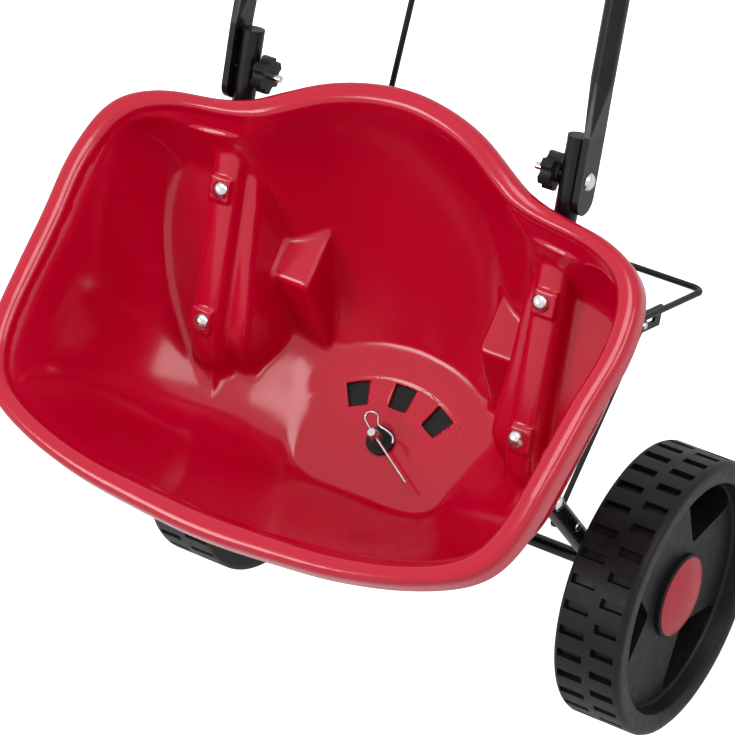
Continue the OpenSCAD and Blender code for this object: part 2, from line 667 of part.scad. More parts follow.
// A point in the handle frame: s along the handle, u above its middle plane
function handle_pt(x, s, u) = [x, pivot_y + s * cos(slope) - u * sin(slope),
    pivot_z + s * sin(slope) + u * cos(slope)];
rod_tip = handle_pt(rod_x_top, lever_s, pivot_up) - [0, shutter_travel / 2, lever_arm];
rod_pts = [[tab_x, tab_y, shutter_top - shutter_t - 8], [tab_x, tab_y, shutter_top + 18],
    [-30, 172, 226], [-44, 236, 350], [-25, 330, 437], rod_tip];
module segment(a, b, r) {
    d = b - a;
    translate(a) rotate([0, acos(d[2] / norm(d)), atan2(d[1], d[0])]) {
        cylinder(r = r, h = norm(d), $fn = 24);
        sphere(r = r + bend_full, $fn = 24);
    }
}
module control_rod() color([0.05, 0.05, 0.055]) place() {
    for (i = [0:len(rod_pts) - 2]) segment(rod_pts[i], rod_pts[i + 1], rod_r);
    segment(rod_tip, rod_tip + [5 - rod_x_top, 0, 0], rod_r);
}

// Wire stand: a ground bar and two legs that rise to the front
module stand() color([0.05, 0.05, 0.055]) place() {
    bar_end = stand_x - leg_bend_r + bend_in;
    translate([0, stand_y, stand_z]) rod_x(stand_r, -bar_end, bar_end);
    both() {
        translate([stand_x - leg_bend_r, stand_y, stand_z]) rotate([90 - leg_slope, 0, 0])
            translate([0, 0, leg_bend_r]) rotate([90, 0, 0]) rotate([0, 0, -90])
                bend(leg_bend_r, stand_r, 90);
        along_leg(stand_x, leg_bend_r - bend_in) cylinder(r = stand_r, h = leg_top - leg_bend_r);
    }
}
module slotted_bars() color([0.05, 0.05, 0.055]) place() both() difference() {
    along_leg(stand_x - stand_r - bar_t - gap, bar_s[0]) translate([0, bar_w_mid - slot_bar_w / 2, 0])
        cube([bar_t, slot_bar_w, bar_s[1] - bar_s[0]]);
    along_leg(stand_x - 20, bar_s[0]) for (s = [12, stand_bolt_s - bar_s[0] - 46])
        translate([0, bar_w_mid - bar_slot / 2, s]) cube([40, bar_slot, 50]);
}
module across_bar(s) along_leg(0, s) translate([0, bar_w_mid, 0]) children();
module stand_bolts() color([0.75, 0.75, 0.77]) place() both() across_bar(stand_bolt_s) {
    rod_x(bolt_r, ear_x - plate_t - 6.5, stand_x - stand_r);
    translate([stand_x - stand_r - gap + 0.2, 0, 0]) rotate([0, 90, 0]) dome_head(6.5, 3.4);
}

// Brace rods from the posts to the slotted bars, with flattened eyes
brace_r = 2.5;
eye_t = 3;
eye_high_r = 7;
eye_low_r = 5.3;
brace_mid = bar_w_mid - 0.8;
brace_high = [tube_x - tube_r - gap - eye_t / 2, post_y(brace_z), brace_z];
brace_low = [stand_x - stand_r - gap + eye_t / 2, leg_y(brace_s) + brace_mid * sin(leg_slope),
    leg_z(brace_s) + brace_mid * cos(leg_slope)];
module brace_rods() color([0.05, 0.05, 0.055]) place() both() difference() {
    d = (brace_low - brace_high) / norm(brace_low - brace_high);
    union() {
        segment(brace_high + d * (eye_high_r + 0.5), brace_low - d * (eye_low_r + 1.7), brace_r);
        translate(brace_low - d * (eye_low_r + 1.7)) sphere(r = brace_r + bend_full, $fn = 24);
        translate(brace_high) rod_x(eye_high_r, -eye_t / 2, eye_t / 2);
        translate(brace_low) rod_x(eye_low_r, -eye_t / 2, eye_t / 2);
    }
    for (p = [brace_high, brace_low]) translate(p) rod_x(brace_bolt_r + hole_gap, -5, 5);
}
module brace_head() dome_head(4, 2.6);
module brace_bolts() color([0.75, 0.75, 0.77]) place() both() {
    translate([0, brace_high[1], brace_high[2]]) {
        rod_x(brace_bolt_r, brace_high[0] - 2, tube_x + tube_r + 1);
        translate([brace_high[0] - eye_t / 2 - gap, 0, 0]) rotate([0, -90, 0]) brace_head();
        translate([tube_x + tube_r + gap, 0, 0]) rotate([0, 90, 0]) brace_head();
    }
    translate([0, brace_low[1], brace_low[2]]) {
        rod_x(brace_bolt_r, stand_x - stand_r - bar_t - 2, brace_low[0] + 2);
        translate([brace_low[0] + eye_t / 2 + gap, 0, 0]) rotate([0, 90, 0]) brace_head();
        translate([stand_x - stand_r - bar_t - 2 * gap, 0, 0]) rotate([0, -90, 0]) brace_head();
    }
}

// Lower handle tubes: flattened ends outside the uprights, round above
flat_t = 5.5;
flat_w = 26;
flat_x = tube_x + tube_r + gap;
flat_top = 38;
round_from = 82;
sleeve_l = 45;
neck_bolt = 22;
module flat_end(h) translate([flat_x - handle_x, -flat_w / 2, 0]) cube([flat_t, flat_w, h]);
module handle_tube() color([0.05, 0.05, 0.055]) place() difference() {
    union() {
        on_handle(0) translate([0, 0, -15]) flat_end(flat_top + 15);
        on_handle(-15) translate([flat_x - handle_x, 0, 0]) rotate([0, 90, 0])
            cylinder(r = flat_w / 2, h = flat_t);
        on_handle(0) hull() {
            translate([0, 0, flat_top - 1]) flat_end(1);
            translate([0, 0, round_from]) cylinder(r = tube_r - 0.1, h = 1, $fn = 32);
        }
        on_handle(round_from) cylinder(r = tube_r, h = lower_l - round_from);
    }
    on_handle(round_from + 8) cylinder(r = tube_r - tube_wall, h = lower_l);
    on_handle(0) rod_x(bolt_r + hole_gap, -30, 30);
    for (s = [crossbar_s, lower_l - neck_bolt]) on_handle(s) rod_x(bolt_r + hole_gap, -30, 30);
}
module handle_tube_right() handle_tube();
module handle_tube_left() mirror([1, 0, 0]) handle_tube();

// Handle bolts: round head outside, thread through tube and upright, and the star knob inside
knob_x = tube_x - tube_r - gap;
knob_l = 13;
module handle_bolts() color([0.8, 0.8, 0.82]) place() both() translate([0, pivot_y, pivot_z]) {
    rod_x(bolt_r, knob_x - knob_l - 10, flat_x + flat_t + 0.5);
    translate([flat_x + flat_t + 0.2, 0, 0]) rotate([0, 90, 0]) dome_head(7.5, 4);
}
module knob() color([0.06, 0.06, 0.065]) place() translate([knob_x, pivot_y, pivot_z]) rotate([0, -90, 0])
    difference() {
        union() {
            cylinder(r = 8, h = 3.5);
            translate([0, 0, 3]) linear_extrude(knob_l - 3) difference() {
                circle(r = knob_d / 2);
                for (i = [0:5]) rotate([0, 0, i * 60 + 30]) translate([knob_d / 2 + 1.5, 0]) circle(r = 5);
            }
        }
        translate([0, 0, -1]) cylinder(r = bolt_r + run, h = knob_l + 2);
    }
module knob_right() knob();
module knob_left() mirror([1, 0, 0]) knob();

// Upper handle: necks inside the lower tubes, two legs, two bends and the push bar
top_bend_r = 62;
neck_r = tube_r - tube_wall - run;
module top_path(r) {
    both() {
        on_handle(lower_l + gap) cylinder(r = r, h = upper_l - top_bend_r - gap + bend_in);
        on_handle(handle_end_s - top_bend_r, handle_x - top_bend_r) rotate([90, 0, 0])
            bend(top_bend_r, r, 90);
    }
    bar_end = handle_x - top_bend_r + bend_in;
    on_handle(handle_end_s, 0) rod_x(r, -bar_end, bar_end);
}
module handle_top() color([0.05, 0.05, 0.055]) place() difference() {
    union() {
        top_path(tube_r);
        both() on_handle(lower_l - sleeve_l) cylinder(r = neck_r, h = sleeve_l + 1);
    }
    top_path(neck_r - tube_wall);
    both() {
        on_handle(lower_l - neck_bolt) rod_x(bolt_r + hole_gap, -30, 30);
        on_handle(lower_l - sleeve_l - 1) cylinder(r = neck_r - tube_wall - bend_full, h = sleeve_l + 2);
    }
}
module handle_top_bolts() color([0.75, 0.75, 0.77]) place() both() on_handle(lower_l - neck_bolt, 0) {
    rod_x(bolt_r, handle_x - tube_r - 5.5, handle_x + tube_r + 1);
    translate([handle_x + tube_r + 0.2, 0, 0]) rotate([0, 90, 0]) dome_head(6.5, 3.4);
}
module handle_nuts() color([0.75, 0.75, 0.77]) place() {
    both() on_handle(lower_l - neck_bolt, handle_x - tube_r - gap) rotate([0, -90, 0]) m6_nut();
    on_pivot() translate([gauge_x + gauge_t + gap, 0, 0]) rotate([0, 90, 0]) m6_nut();
}
grip_half = 95;
module grip() color([0.08, 0.08, 0.08]) place() on_handle(handle_end_s, 0) difference() {
    union() {
        rod_x(grip_d / 2, -grip_half, grip_half);
        for (x = [-grip_half, grip_half]) rod_x(grip_d / 2 + grip_lip, x - 2, x + 2);
    }
    rod_x(tube_r + run, -grip_half - 5, grip_half + 5);
}

// Crossbar between the lower tubes, which carries the gauge plate
crossbar_s = lower_l - 68;
crossbar_r = 8;
crossbar_end = handle_x - tube_r - gap;
module handle_crossbar() color([0.05, 0.05, 0.055]) place() on_handle(crossbar_s, 0) difference() {
    rod_x(crossbar_r, -crossbar_end, crossbar_end);
    both() rod_x(bolt_r + run, crossbar_end - 25, crossbar_end + 1);
    rod_x(crossbar_r - tube_wall, -crossbar_end + 26, crossbar_end - 26);
}
module crossbar_bolts() color([0.75, 0.75, 0.77]) place() both() on_handle(crossbar_s, 0) {
    rod_x(bolt_r, crossbar_end - 22, handle_x + tube_r + 1);
    translate([handle_x + tube_r + 0.2, 0, 0]) rotate([0, 90, 0]) dome_head(6.5, 3.4);
}

// Gauge plate: a collar on the crossbar, a sector beside the lever, and the lever pivot
lever_t = 4;
gauge_x = lever_t / 2 + gap;
gauge_t = 2.5;
sector_r = 60;
sector_half = lever_rest + 14;
module on_pivot() translate(handle_pt(0, lever_s, pivot_up)) children();
module fan(r, half) polygon([[0, 0], [-2 * r * sin(half), 2 * r * cos(half)],
    [2 * r * sin(half), 2 * r * cos(half)]]);
// Outline in world Y and Z about the pivot
module gauge_outline() difference() {
    bar = handle_pt(0, crossbar_s, 0) - handle_pt(0, lever_s, pivot_up);
    arm_turn = atan2(bar[2], bar[1]);
    union() {
        intersection() {
            circle(r = sector_r, $fn = 96);
            fan(sector_r, sector_half);
        }
        circle(r = 15);
        rotate([0, 0, arm_turn]) translate([0, -11]) square([norm(bar), 22]);
        translate([bar[1], bar[2]]) circle(r = crossbar_r + 5);
    }
    translate([bar[1], bar[2]]) circle(r = crossbar_r + run);
    circle(r = bolt_r + run);
}
module gauge_plate() color([0.62, 0.63, 0.65]) place() difference() {
    union() {
        on_pivot() yz() translate([0, 0, gauge_x]) linear_extrude(gauge_t) gauge_outline();
        on_handle(crossbar_s, 0) rod_x(crossbar_r + 4.5, gauge_x + 1, gauge_x + 16);
    }
    on_handle(crossbar_s, 0) {
        rod_x(crossbar_r + run, -20, 60);
        translate([gauge_x + 10, 0, 0]) cylinder(r = screw_r, h = 40);
    }
}
module gauge_bolts() color([0.75, 0.75, 0.77]) place() on_handle(crossbar_s, 0)
    translate([gauge_x + 10, 0, crossbar_r + gap]) {
        cylinder(r = screw_r - run, h = 8);
        translate([0, 0, 5.2]) cylinder(r = 3.6, h = 3);
    }
module lever_pivot() color([0.75, 0.75, 0.77]) place() on_pivot() {
    rod_x(bolt_r, -lever_t / 2 - 3, gauge_x + gauge_t + nut_h + 1);
    translate([-lever_t / 2 - gap, 0, 0]) rotate([0, -90, 0]) dome_head(6.5, 3.4);
}

// Lever: a flat bar with a slot for the rod at its foot, and a plastic grip on top
lever_up = 118;
lever_w = 14;
grip_top_r = 12;
slot_play = 1.2;
module on_lever() on_pivot() rotate([-lever_rest, 0, 0]) children();
module lever() color([0.06, 0.06, 0.065]) place() on_lever() difference() {
    union() {
        translate([-lever_t / 2, -lever_w / 2, -lever_arm - 1])
            cube([lever_t, lever_w, lever_up + lever_arm + 1]);
        translate([0, 0, -lever_arm - 1]) rod_x(9, -lever_t / 2, lever_t / 2);
    }
    rod_x(bolt_r + run, -10, 10);
    translate([-10, -rod_r - 0.5, -lever_arm - 0.8 - rod_r - slot_play])
        cube([20, 2 * rod_r + 1, 2 * (rod_r + slot_play)]);
}
module lever_grip() color([0.72, 0.08, 0.13]) place() on_lever() difference() {
    translate([0, 0, lever_up - 20]) rotate_extrude() polygon(concat([[0, 0], [9, 0]],
        [for (a = [0:10:90]) [grip_top_r * cos(a), 34 + grip_top_r * sin(a)]]));
    translate([-lever_t / 2 - run, -lever_w / 2 - run, lever_up - 60])
        cube([lever_t + 2 * run, lever_w + 2 * run, 60 + run]);
}

hopper();
frame_tube_right();
frame_tube_left();
tube_caps();
hopper_bolts();
frame_nuts();
axle();
axle_bushes();
wheel_spacers();
drive_pin();
drive_wheel();
free_wheel();
drive_wheel_cap();
free_wheel_cap();
wheel_washers();
cotter_pins();
gearbox_right();
gearbox_left();
gearbox_screws();
bevel_gear();
pinion();
impeller_shaft();
impeller();
impeller_pin();
floor_bush();
agitator_clip();
cross_plate();
plate_screws();
shutter();
shutter_guides();
guide_screws();
control_rod();
stand();
slotted_bars();
stand_bolts();
brace_rods();
brace_bolts();
handle_tube_right();
handle_tube_left();
handle_bolts();
knob_right();
knob_left();
handle_top();
handle_top_bolts();
handle_nuts();
grip();
handle_crossbar();
crossbar_bolts();
gauge_plate();
gauge_bolts();
lever_pivot();
lever();
lever_grip();
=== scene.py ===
import bpy
import bmesh
import math
import numpy as np
from mathutils import Matrix, Vector


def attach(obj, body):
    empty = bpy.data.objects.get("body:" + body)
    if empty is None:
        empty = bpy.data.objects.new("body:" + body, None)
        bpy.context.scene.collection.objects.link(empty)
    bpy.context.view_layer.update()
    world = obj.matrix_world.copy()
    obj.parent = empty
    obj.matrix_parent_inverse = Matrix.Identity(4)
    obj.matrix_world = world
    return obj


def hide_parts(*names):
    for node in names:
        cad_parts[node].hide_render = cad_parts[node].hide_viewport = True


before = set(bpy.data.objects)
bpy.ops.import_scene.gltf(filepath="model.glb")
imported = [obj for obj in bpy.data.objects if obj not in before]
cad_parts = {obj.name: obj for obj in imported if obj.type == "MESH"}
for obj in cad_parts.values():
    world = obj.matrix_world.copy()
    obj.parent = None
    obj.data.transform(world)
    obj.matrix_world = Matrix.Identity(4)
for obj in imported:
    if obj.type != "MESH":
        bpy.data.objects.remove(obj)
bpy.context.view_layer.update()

# Sizes in millimetres from the wheel axle: +X right, +Y towards the handle, +Z up.
# On the slope of the uprights, s is the way up along it and c the height square to it.
MID_Y = 323.555  # the footprint's centre, behind the axle
LIFT = 125.0  # the axle's height over the ground
SLOPE = math.radians(35)
COS, SIN = math.cos(SLOPE), math.sin(SLOPE)
RIM_Z, FLOOR_Z, WALL = 399.0, 181.0, 3.0
CREASE_Z = RIM_Z - 9  # where the walls end and the lip begins
LIP_W = 21.0
TUBE_X, TUBE_R = 154.5, 9.5
TUBE_C = 195.4  # the upright's centre line
PAD_S = (294.5, 176.5)
HOLE_S = (297.5, 180.5)
PAD_X, PAD_TOP = 157.0, TUBE_C + 15.5


def place(points):
    """Axle millimetres to the pack's metres."""
    p = np.asarray(points, float).reshape(-1, 3)
    return (p + (0, -MID_Y, LIFT)) / 1000


def show(obj):
    bpy.context.scene.collection.objects.link(obj)
    return obj


# Camera at the photograph's view
def add_camera():
    data = bpy.data.cameras.new("view")
    data.sensor_width = 36
    data.lens = 173.9
    data.shift_x, data.shift_y = -0.0014, -0.0065
    data.clip_start, data.clip_end = 0.05, 30
    right = Vector((0.837336, 0.425455, -0.343303)).normalized()
    up = Vector((-0.311271, 0.88727, 0.340386)).normalized()
    back = right.cross(up)
    m = Matrix((right, up, back)).transposed().to_4x4()
    m.translation = Vector(place((1315.98, -479.09, 2827.78))[0])
    cam = show(bpy.data.objects.new("view", data))
    cam.matrix_world = m
    bpy.context.scene.camera = cam


add_camera()
bpy.context.scene.view_settings.view_transform = "Standard"

# The share of a noise's range that a finish spreads its values over
NOISE_LOW, NOISE_HIGH = 0.3, 0.7
COAT_ROUGHNESS = 0.06
ROUGH_GRAIN = 3.1  # how much finer the roughness drifts than the colour
BUMP_DEPTH = 0.0004


class Nodes:
    """A Principled material and what leads into it."""

    def __init__(self, name, **sockets):
        self.mat = bpy.data.materials.new(name)
        self.mat.use_nodes = True
        self.tree = self.mat.node_tree
        self.shader = self.tree.nodes["Principled BSDF"]
        for key, value in sockets.items():
            self.shader.inputs[key.replace("_", " ")].default_value = value
        self.coord = self.new("ShaderNodeTexCoord")

    def new(self, kind, **inputs):
        node = self.tree.nodes.new(kind)
        for key, value in inputs.items():
            node.inputs[key.replace("_", " ")].default_value = value
        return node

    def link(self, out, to):
        self.tree.links.new(out, to)

    def noise(self, scale, detail):
        node = self.new("ShaderNodeTexNoise", Scale=scale, Detail=detail, Roughness=0.5)
        self.link(self.coord.outputs["Object"], node.inputs["Vector"])
        return node.outputs["Fac"]

    def ramp(self, fac, dark, light):
        node = self.new("ShaderNodeValToRGB")
        ends = zip(node.color_ramp.elements, (NOISE_LOW, NOISE_HIGH), (dark, light))
        for element, at, colour in ends:
            element.position = at
            element.color = (*colour, 1)
        self.link(fac, node.inputs["Fac"])
        return node.outputs["Color"]

    def span(self, fac, low, high):
        node = self.new("ShaderNodeMapRange", From_Min=NOISE_LOW, From_Max=NOISE_HIGH,
            To_Min=low, To_Max=high)
        self.link(fac, node.inputs["Value"])
        return node.outputs["Result"]

    def bump(self, fac, strength):
        node = self.new("ShaderNodeBump", Strength=strength, Distance=BUMP_DEPTH)
        self.link(fac, node.inputs["Height"])
        self.link(node.outputs["Normal"], self.shader.inputs["Normal"])


def finish_of(name, dark, light, rough, grain, bump, metallic=0.0, coat=0.0, spec=0.5, fine=900.0):
    """A surface whose colour and roughness drift a little, with a fine bump."""
    n = Nodes(name, Metallic=metallic, Coat_Weight=coat, Coat_Roughness=COAT_ROUGHNESS,
        Specular_IOR_Level=spec)
    n.link(n.ramp(n.noise(grain, 4.0), dark, light), n.shader.inputs["Base Color"])
    n.link(n.span(n.noise(grain * ROUGH_GRAIN, 3.0), *rough), n.shader.inputs["Roughness"])
    n.bump(n.noise(fine, 2.0), bump)
    return n.mat


red_plastic = finish_of("red_plastic", (0.5, 0.0, 0.021), (0.54, 0.0, 0.026),
    (0.13, 0.2), 9, 0.02, fine=260)
red_caps = finish_of("red_caps", (0.42, 0.012, 0.025), (0.47, 0.016, 0.03),
    (0.3, 0.4), 40, 0.12)
black_tube = finish_of("black_tube", (0.004, 0.004, 0.004), (0.007, 0.007, 0.007),
    (0.22, 0.32), 30, 0.05, coat=0.1, spec=0.22)
black_wire = finish_of("black_wire", (0.004, 0.004, 0.004), (0.008, 0.008, 0.008),
    (0.28, 0.4), 60, 0.08, spec=0.25)
wheel_plastic = finish_of("wheel_plastic", (0.006, 0.006, 0.0065), (0.012, 0.012, 0.0125),
    (0.36, 0.48), 35, 0.25, spec=0.22)
black_plastic = finish_of("black_plastic", (0.005, 0.005, 0.0055), (0.01, 0.01, 0.0105),
    (0.35, 0.5), 60, 0.25, spec=0.2)
bright_bolts = finish_of("bright_bolts", (0.62, 0.62, 0.63), (0.74, 0.74, 0.74),
    (0.1, 0.22), 120, 0.05, metallic=1.0)
plain_steel = finish_of("plain_steel", (0.45, 0.45, 0.46), (0.58, 0.58, 0.58),
    (0.26, 0.4), 90, 0.1, metallic=1.0)
pale_nylon = finish_of("pale_nylon", (0.62, 0.61, 0.56), (0.7, 0.69, 0.65),
    (0.4, 0.52), 70, 0.12)
grip_rubber = finish_of("grip_rubber", (0.016, 0.016, 0.017), (0.028, 0.028, 0.029),
    (0.6, 0.75), 50, 0.5, fine=500)

# Hopper outlines as (x, y), right half from the front to the back
RIM = [(0, -163), (70, -159), (130, -152), (190, -136), (236, -111), (253, -73), (258, -20),
    (261, 40), (265, 95), (252, 147), (212, 171), (168, 179), (134, 187), (106, 202), (76, 219),
    (40, 231), (0, 236)]
UPPER = [(0, -113), (64, -111), (120, -106), (173, -95), (208, -73), (219, -47), (223, -12),
    (224, 38), (228, 92), (219, 128), (195, 140), (160, 138), (128, 142), (104, 158), (76, 176),
    (40, 186), (0, 189)]
LOWER = [(0, -81), (55, -80), (105, -76), (150, -68), (180, -52), (190, -34), (194, -8),
    (196, 26), (197, 62), (190, 90), (170, 104), (145, 106), (118, 110), (94, 120), (68, 134),
    (36, 140), (0, 142)]
FLOOR = [(0, -52), (40, -52), (62, -47), (73, -38), (77, -27), (78, -15), (78, -4), (79, 6),
    (82, 15), (86, 25), (88, 35), (86, 46), (78, 56), (66, 65), (50, 73), (27, 80), (0, 83)]
MID = (0.0, 30.0)
TURNS = 4096  # angles in a table of radii
SPAN_POINTS = 64  # points between two of an outline's
SMOOTHING = 34.0  # waves round the loop, beyond which the ripple is taken out


def closed_loop(half):
    """A dense smooth loop through a half outline and its mirror image."""
    p = np.array(list(half) + [(-x, y) for x, y in half[-2:0:-1]], float)
    a, b, c, d = np.roll(p, 1, 0), p, np.roll(p, -1, 0), np.roll(p, -2, 0)
    t = np.linspace(0, 1, SPAN_POINTS, endpoint=False)[:, None, None]
    q = b + 0.5 * t * (c - a + t * (2 * a - 5 * b + 4 * c - d + t * (3 * (b - c) + d - a)))
    return q.transpose(1, 0, 2).reshape(-1, 2)


def grown(loop, d):
    """The loop moved out by d."""
    t = np.roll(loop, -1, 0) - np.roll(loop, 1, 0)
    n = np.stack([t[:, 1], -t[:, 0]], 1)
    return loop + d * n / np.linalg.norm(n, axis=1)[:, None]


def polar(loop):
    """The loop's radius round MID at even angles, with its fine ripple taken out."""
    q = loop - MID
    angle = np.arctan2(q[:, 1], q[:, 0])
    order = np.argsort(angle)
    even = np.linspace(-math.pi, math.pi, TURNS, endpoint=False)
    r = np.interp(even, angle[order], np.hypot(q[:, 0], q[:, 1])[order], period=2 * math.pi)
    f = np.fft.rfft(r)
    return np.fft.irfft(f * np.exp(-(np.arange(len(f)) / SMOOTHING) ** 2), TURNS)


rim_loop = closed_loop(RIM)
R_RIM = polar(rim_loop)
R_LEVELS = [polar(closed_loop(FLOOR)), polar(closed_loop(LOWER)), polar(closed_loop(UPPER)),
    polar(grown(rim_loop, -LIP_W))]


def radius(table, x, y):
    """A table's radius in the direction of (x, y) from MID."""
    u = (np.arctan2(y - MID[1], x) + math.pi) / (2 * math.pi) * TURNS
    i = np.floor(u).astype(int)
    return table[i % TURNS] * (1 - (u - i)) + table[(i + 1) % TURNS] * (u - i)


def smax(a, b, k):
    """The larger of the two, blended over a width of k."""
    h = np.maximum(k - np.abs(a - b), 0) / k
    return np.maximum(a, b) + h * h * k / 4


def plane(y, z, a, b):
    """Distance in the side view from the line through a and b, positive on its left."""
    length = math.hypot(b[0] - a[0], b[1] - a[1])
    return ((b[0] - a[0]) * (z - a[1]) - (b[1] - a[1]) * (y - a[0])) / length


BEND, BEND_R = (12.0, 247.0), 45  # the upright's bend, its corner as (y, z)
POST_L, SLOPE_L = 150, 330


def upright_line():
    """The upright's centre line in the side view: post, bend, slope."""
    lean = math.atan2(*BEND)
    slope_dir = np.array([COS, SIN])
    post_dir = np.array([math.sin(lean), math.cos(lean)])
    corner = np.array(BEND)
    turn = math.acos(float(slope_dir @ post_dir))
    reach = BEND_R * math.tan(turn / 2)
    start, end = corner - post_dir * reach, corner + slope_dir * reach
    t = np.linspace(0, 1, 13)[:, None]
    arc = (1 - t) ** 2 * start + 2 * t * (1 - t) * corner + t ** 2 * end
    return np.vstack([corner - post_dir * POST_L, arc, corner + slope_dir * SLOPE_L])


LINE = upright_line()


def from_line(y, z):
    """Signed distance from the upright's centre line, positive on the hopper's inner side."""
    best = np.full(np.broadcast(y, z).shape, 1e9)
    for a, b in zip(LINE[:-1], LINE[1:]):
        d = b - a
        n = d @ d
        t = np.clip(((y - a[0]) * d[0] + (z - a[1]) * d[1]) / n, 0, 1)
        py, pz = y - a[0] - t * d[0], z - a[1] - t * d[1]
        dist = np.hypot(py, pz)
        side = np.sign(d[0] * pz - d[1] * py)
        near = dist < np.abs(best)
        best = np.where(near, dist * np.where(side == 0, 1, side), best)
    return best


BEAD_MID, BEAD_HALF = 9.5, 10.5  # in from the rim's edge
BEAD_H, BEAD_POWER, BEAD_ROOT = 10, 2.3, 0.43
BEAD_FALL = 14  # inside the bead, per BEAD_HALF


def lip_top(s):
    """Height of the rim's bead over RIM_Z at distance s in from its edge."""
    t = np.abs(s - BEAD_MID) / BEAD_HALF
    bead = -BEAD_H * (1 - (1 - np.minimum(t, 1) ** BEAD_POWER) ** BEAD_ROOT)
    return bead - BEAD_FALL * np.clip(t - 1, 0, 1)


LIFT_BACK, LIFT_MORE = 7, 7
LIFT_Y, LIFT_OVER_Y = 110, 150  # from here to the front the rim rises, over this length
LIFT_Z, LIFT_OVER_Z = 200, 200  # and from here up
DIP_OUT, DIP_Y, DIP_HALF = 10, 180, (45, 32)  # beside each handle tube


def rim_lift(x, y, z):
    """How far walls and rim stand over a level rim: none by the handle tubes, most in front."""
    dip = 1 - np.exp(-((x - TUBE_X - DIP_OUT) / DIP_HALF[0]) ** 2
        - ((y - DIP_Y) / DIP_HALF[1]) ** 2)
    height = LIFT_BACK + LIFT_MORE * np.clip((LIFT_Y - y) / LIFT_OVER_Y, 0, 1)
    return height * dip * np.clip((z - LIFT_Z) / LIFT_OVER_Z, 0, 1)


SHARE_LOW = -0.15  # how far under the floor the walls are drawn on, as a share


def outside_walls(x, y, level, r):
    """Distance out from the walls, which pass through the four outlines at even heights."""
    v = np.clip((level - FLOOR_Z) / (CREASE_Z - FLOOR_Z), SHARE_LOW, 1)
    # Each outline's cubic weight at a height, then that weight's slope
    w = [-4.5 * (v - 1 / 3) * (v - 2 / 3) * (v - 1), 13.5 * v * (v - 2 / 3) * (v - 1),
        -13.5 * v * (v - 1 / 3) * (v - 1), 4.5 * v * (v - 1 / 3) * (v - 2 / 3)]
    dw = [-4.5 * (3 * v * v - 4 * v + 11 / 9), 13.5 * (3 * v * v - 10 / 3 * v + 2 / 3),
        -13.5 * (3 * v * v - 8 / 3 * v + 1 / 3), 4.5 * (3 * v * v - 2 * v + 2 / 9)]
    levels = [radius(t, x, y) for t in R_LEVELS]
    outline = sum(a * b for a, b in zip(w, levels))
    steep = sum(a * b for a, b in zip(dw, levels)) / (CREASE_Z - FLOOR_Z)
    steep = np.where((v >= 1) | (v <= SHARE_LOW), 0, steep)
    return (r - outline) / np.sqrt(1 + steep * steep)


PORT_MID = -49.0  # the centre of the ports' arc
STEP_H, STEP_R, STEP_W = 1.2, 102.5, 2
STEP_Y, STEP_OVER_Y = 5, 20


def floor_at(x, y):
    """Height of the floor, with a low step behind the ports."""
    rho = np.hypot(x, y - PORT_MID)
    return FLOOR_Z + STEP_H * np.clip((rho - STEP_R) / STEP_W, 0, 1) * np.clip(
        (y - STEP_Y) / STEP_OVER_Y, 0, 1)


# The shoulder outside each upright: its outer edge, as x along s, its top and its flare
SHOULDER_S = [100, 125, 146, 175, 205, 237, 263, 283, 298, 308, 316]
SHOULDER_X = [150, 167, 181, 200, 213, 221, 222, 217, 206, 190, 168]
SHOULDER_TOP, SHOULDER_IN, SHOULDER_FLARE = 187, 150, (0.96, 0.25)


def shoulder(x, s, c):
    edge = np.interp(s, SHOULDER_S, SHOULDER_X)
    flank = (x - edge) * SHOULDER_FLARE[0] - SHOULDER_FLARE[1] * (SHOULDER_TOP - c)
    return smax(smax(c - SHOULDER_TOP, flank, 10), SHOULDER_IN - x, 2)


# The ridge inside each upright: its inner edge, as x along s, its flare and its front face
RIDGE_S = [130, 150, 165, 180, 231, 280, 311, 340]
RIDGE_X = [130, 123, 121, 121, 126, 129, 134, 142]
RIDGE_UNDER, RIDGE_FLARE, RIDGE_OUT = 1.4, 0.1, 160
RIDGE_FRONT = (2, 181), (21, 256)


def ridge(x, y, z, s, c):
    edge = np.interp(s, RIDGE_S, RIDGE_X)
    body = smax(c - TUBE_C + RIDGE_UNDER, (edge - RIDGE_FLARE * (TUBE_C - c) - x), 9)
    return smax(smax(body, plane(y, z, *RIDGE_FRONT), 10), x - RIDGE_OUT, 2)


# The wedge boss beside each ridge: its front face, its top and its inner side
WEDGE_FRONT = (57, 181), (84, 262)
WEDGE_TOP = (84, 262), (150, 268)
WEDGE_IN, WEDGE_FLARE, WEDGE_OUT = 83.5, 0.04, 140


def wedge(x, y, z):
    body = smax(plane(y, z, *WEDGE_FRONT), plane(y, z, *WEDGE_TOP), 5)
    body = smax(body, WEDGE_IN - WEDGE_FLARE * (WEDGE_TOP[0][1] - z) - x, 5)
    return smax(body, x - WEDGE_OUT, 6)


# The channel over each upright
RIB_R = TUBE_R + 0.4 + WALL
RIB_X, RIB_HALF, RIB_FLARE, RIB_DEEP = 156.5, 15, 0.05, 70


def channel(x, side):
    flank = np.abs(x - RIB_X) - RIB_HALF - RIB_FLARE * np.clip(-side, 0, RIB_DEEP)
    return smax(flank, side - RIB_R, 13)


PAD_HALF_X, PAD_HALF_S, PAD_BLEND = 10.3, 11, 1.5


def pad(x, s, c, at):
    body = smax(np.abs(x - PAD_X) - PAD_HALF_X, np.abs(s - at) - PAD_HALF_S, PAD_BLEND)
    return smax(body, c - PAD_TOP, PAD_BLEND)


